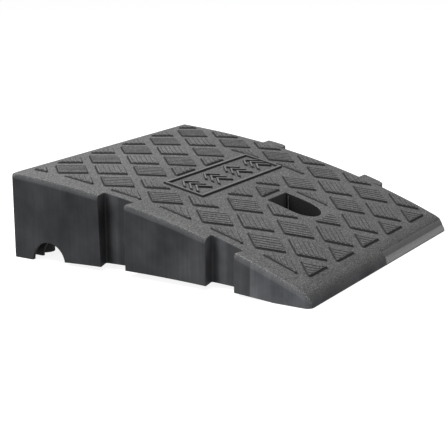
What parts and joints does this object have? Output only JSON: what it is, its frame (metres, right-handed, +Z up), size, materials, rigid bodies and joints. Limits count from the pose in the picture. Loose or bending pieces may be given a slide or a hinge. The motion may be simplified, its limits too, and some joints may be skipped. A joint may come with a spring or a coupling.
{
  "type": "kerb ramp",
  "caption": "Wheel ramp module for a kerb or step: hollow moulded wedge with a studded deck, a grip hole, a drain channel, side sockets and tabs, and screwed-on rubber feet.",
  "frame": {"origin": "on the ground, below the middle of the whole box", "axes": "+Z up, +Y up the slope towards the high end, +X from the socket side to the tab side"},
  "size_m": [0.5214, 0.5336, 0.1405],
  "materials": {
    "moulding": "fine sand texture on the deck, smooth matte on the walls",
    "foot_rubber": "matt moulded rubber",
    "zinc": "bright zinc plate"
  },
  "bodies": {
    "root": {"ramp_body": "moulding", "foot_heel_near": "foot_rubber", "foot_heel_mid": "foot_rubber", "foot_heel_far": "foot_rubber", "foot_toe_near": "foot_rubber", "foot_toe_mid": "foot_rubber", "foot_toe_far": "foot_rubber", "screw_heel_near": "zinc", "screw_heel_mid": "zinc", "screw_heel_far": "zinc", "screw_toe_near": "zinc", "screw_toe_mid": "zinc", "screw_toe_far": "zinc", "washer_heel_near": "zinc", "washer_heel_mid": "zinc", "washer_heel_far": "zinc", "washer_toe_near": "zinc", "washer_toe_mid": "zinc", "washer_toe_far": "zinc"}
  },
  "joints": []
}
